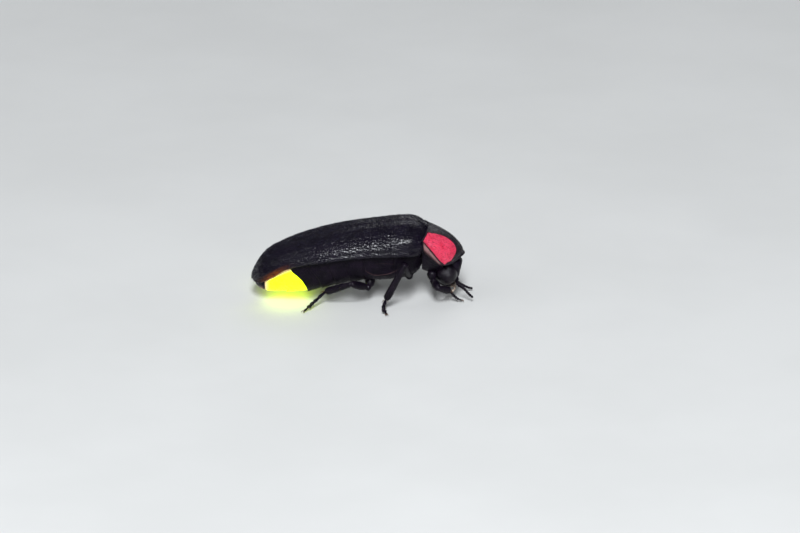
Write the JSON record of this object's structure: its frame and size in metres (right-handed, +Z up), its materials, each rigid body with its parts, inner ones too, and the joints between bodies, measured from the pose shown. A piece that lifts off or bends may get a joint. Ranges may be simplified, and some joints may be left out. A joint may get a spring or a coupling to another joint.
{
  "type": "firefly beetle model",
  "caption": "Life-size still model of a resting black firefly with a pink head shield, long wing cases and a glowing yellow-green tail lantern.",
  "frame": {"origin": "on the ground under the middle of the body's box", "axes": "+X towards the head, +Y to the animal's left, +Z up"},
  "size_m": [0.01, 0.0055, 0.0038],
  "materials": {
    "shell": "black wing cases, faintly glossy, with fine pits and short grey hairs",
    "body": "dull black body with fine hairs",
    "limbs": "black legs and feelers with short hairs",
    "shield": "pink-red shield with a broad black band down its middle",
    "eye": "large black eyes of many small facets",
    "lantern": "cream skin, lit yellow-green from inside",
    "mouth": "dark brown mouthparts with a pale lip"
  },
  "bodies": {
    "root": {"abdomen": "body", "antenna_left": "limbs", "antenna_right": "limbs", "elytron_left": "shell", "elytron_right": "shell", "eye_left": "eye", "eye_right": "eye", "head": "body", "lantern": "lantern", "leg_front_left": "limbs", "leg_front_right": "limbs", "leg_middle_left": "limbs", "leg_middle_right": "limbs", "leg_hind_left": "limbs", "leg_hind_right": "limbs", "mouthparts": "mouth", "pronotum": "shield", "prothorax": "body", "thorax": "body"}
  },
  "joints": []
}
